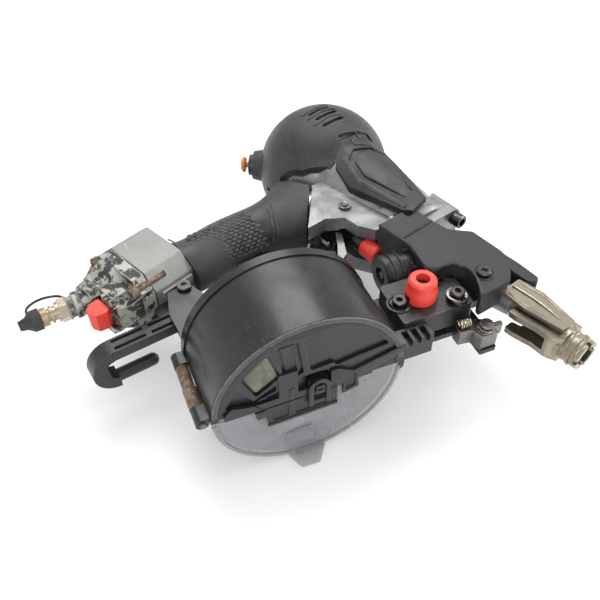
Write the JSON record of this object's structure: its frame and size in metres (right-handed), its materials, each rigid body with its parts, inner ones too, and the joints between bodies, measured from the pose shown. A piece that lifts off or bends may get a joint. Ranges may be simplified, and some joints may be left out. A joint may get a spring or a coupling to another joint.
{
  "type": "coil roofing nailer",
  "caption": "Air-driven coil nailer with ball head, pistol handle, drum magazine with clear half-cover, feeder, nose guide and sprung contact foot.",
  "frame": {"origin": "centre of the box's bottom, with the tool lying on its left side", "axes": "+X along the drive axis to the nose, -Y along the handle, +Z the tool's right side, up"},
  "size_m": [0.307, 0.318, 0.126],
  "materials": {
    "worn_elastomer": "matte, worn to grey on the high spots",
    "seal_rubber": "dull",
    "polished_alloy": "polished, worn and dirty in the corners",
    "inner_alloy": "machined",
    "valve_plastic": "moulded",
    "sandy_alloy": "grainy cast and sanded",
    "worn_black_alloy": "black paint worn to the metal",
    "frame_black": "fine-grained moulding",
    "mechanism_black": "black coating, greasy sheen",
    "drum_black": "glossy with fine scratches",
    "smoke_clear": "smoke-tinted clear plastic",
    "tray_black": "moulded",
    "signal_red": "moulded, slightly glossy",
    "button_orange": "moulded",
    "bare_steel": "oily, lightly tarnished",
    "screw_steel": "blackened, worn at the rims",
    "rusty_steel": "brown with rust",
    "foot_nickel": "champagne nickel, worn",
    "plug_brass": "nickel over brass, dirty",
    "hook_black": "satin black"
  },
  "bodies": {
    "frame": {"head_cover": "worn_elastomer", "cylinder_head": "inner_alloy", "head_valve_spring": "bare_steel", "head_bolts": "screw_steel", "duster_collar": "mechanism_black", "body_housing": "polished_alloy", "cylinder_liner": "inner_alloy", "bumper": "seal_rubber", "side_protector_right": "frame_black", "side_protector_left": "frame_black", "handle_tube": "inner_alloy", "end_block": "sandy_alloy", "grip": "worn_elastomer", "end_gasket": "seal_rubber", "end_cap": "worn_black_alloy", "end_bolts": "rusty_steel", "intake_filter": "valve_plastic", "hook": "hook_black", "trigger_pin": "bare_steel", "valve_bush": "mechanism_black", "nose_guide": "polished_alloy", "nose_bolts": "screw_steel", "nose_guard": "frame_black", "nail_guide": "mechanism_black", "feed_cylinder": "mechanism_black", "feed_ring_cap": "mechanism_black", "feed_spring": "bare_steel", "push_spring": "bare_steel", "nose_cover": "frame_black", "case_screws": "screw_steel", "magazine_body": "drum_black", "magazine_hinge_pin": "rusty_steel", "hinge_sleeves": "rusty_steel", "door_hinge_pin": "bare_steel"},
    "head_valve": {"head_valve": "valve_plastic"},
    "duster_button": {"duster_button": "button_orange"},
    "piston": {"piston": "inner_alloy", "piston_ring": "seal_rubber", "driver_blade": "bare_steel"},
    "trigger": {"trigger": "bare_steel", "trigger_lever": "mechanism_black"},
    "valve_plunger": {"valve_plunger": "plug_brass"},
    "push_arm": {"push_rod": "mechanism_black", "contact_foot": "foot_nickel"},
    "depth_knob": {"depth_knob": "signal_red"},
    "feed_pawl": {"feed_piston": "bare_steel", "feed_pawl": "bare_steel"},
    "guide_door": {"guide_door": "mechanism_black", "latch_pin": "bare_steel"},
    "door_latch": {"door_latch": "bare_steel", "latch_spring": "plug_brass"},
    "magazine_cover": {"magazine_cover": "smoke_clear"},
    "magazine_latch": {"magazine_latch": "drum_black"},
    "nail_tray": {"nail_tray": "tray_black"},
    "selector_lever": {"selector_lever": "signal_red"},
    "air_plug": {"swivel_neck": "worn_black_alloy", "air_plug": "plug_brass", "dust_cap_strap": "seal_rubber"},
    "dust_cap": {"dust_cap": "seal_rubber"},
    "nose_cap": {"nose_cap": "signal_red"}
  },
  "joints": [
    {"name": "head_valve_lift", "type": "slide", "parent": "frame", "child": "head_valve", "axis": [-1, 0, 0], "range_m": [0, 0.003], "stiffness_N_per_m": 2000, "springref_m": -0.003, "deforming": ["head_valve_spring"]},
    {"name": "duster_press", "type": "slide", "parent": "frame", "child": "duster_button", "axis": [0.7071, 0.7071, 0], "range_m": [0, 0.0015], "stiffness_N_per_m": 900, "springref_m": -0.001},
    {"name": "piston_stroke", "type": "slide", "parent": "frame", "child": "piston", "axis": [1, 0, 0], "range_m": [0, 0.076]},
    {"name": "trigger_pull", "type": "hinge", "parent": "frame", "child": "trigger", "pos_m": [-0.034, 0.071, 0.063], "axis": [0, 0, -1], "range_deg": [0, 10], "stiffness_Nm_per_rad": 0.3, "springref_deg": -5.73},
    {"name": "valve_press", "type": "slide", "parent": "frame", "child": "valve_plunger", "axis": [-1, 0, 0], "range_m": [0, 0.002]},
    {"name": "foot_press", "type": "slide", "parent": "frame", "child": "push_arm", "axis": [-1, 0, 0], "range_m": [0, 0.006], "stiffness_N_per_m": 500, "springref_m": -0.006, "deforming": ["push_spring"]},
    {"name": "depth_turn", "type": "hinge", "parent": "push_arm", "child": "depth_knob", "pos_m": [-0.001, 0.068, 0.066], "axis": [1, 0, 0], "range_deg": [-180, 180]},
    {"name": "pawl_stroke", "type": "slide", "parent": "frame", "child": "feed_pawl", "axis": [-0.2823, -0.9593, 0], "range_m": [0, 0.006], "stiffness_N_per_m": 600, "springref_m": -0.004, "deforming": ["feed_spring"]},
    {"name": "door_swing", "type": "hinge", "parent": "frame", "child": "guide_door", "pos_m": [0.05333, 0.02967, 0.0536], "axis": [-0.9593, 0.2823, 0], "range_deg": [0, 95]},
    {"name": "latch_turn", "type": "hinge", "parent": "guide_door", "child": "door_latch", "pos_m": [0.10142, 0.07264, 0.063], "axis": [0, 0, 1], "range_deg": [0, 25], "stiffness_Nm_per_rad": 0.08, "springref_deg": -5.73},
    {"name": "cover_swing", "type": "hinge", "parent": "frame", "child": "magazine_cover", "pos_m": [0.01971, -0.09876, 0.063], "axis": [-0.9593, 0.2823, 0], "range_deg": [0, 100]},
    {"name": "drum_latch_slide", "type": "slide", "parent": "frame", "child": "magazine_latch", "axis": [0, 0, 1], "range_m": [0, 0.0035], "stiffness_N_per_m": 500, "springref_m": -0.002},
    {"name": "tray_slide", "type": "slide", "parent": "frame", "child": "nail_tray", "axis": [-0.9593, 0.2823, 0], "range_m": [0, 0.02]},
    {"name": "selector_turn", "type": "hinge", "parent": "frame", "child": "selector_lever", "pos_m": [-0.06808, -0.1139, 0.063], "axis": [0.1392, -0.9903, 0], "range_deg": [-15, 15]},
    {"name": "plug_swivel", "type": "hinge", "parent": "frame", "child": "air_plug", "pos_m": [-0.086, -0.114, 0.065], "axis": [-0.1392, -0.9903, 0], "continuous": true},
    {"name": "dust_cap_pull", "type": "slide", "parent": "air_plug", "child": "dust_cap", "axis": [-0.1392, -0.9903, 0], "range_m": [0, 0.008], "deforming": ["dust_cap_strap"]},
    {"name": "nose_cap_pull", "type": "slide", "parent": "frame", "child": "nose_cap", "axis": [0, 0, 1], "range_m": [0, 0.013]}
  ],
  "couplings": [
    {"joint": "valve_press", "follows": "trigger_pull", "m_per_rad": 0.011449}
  ]
}
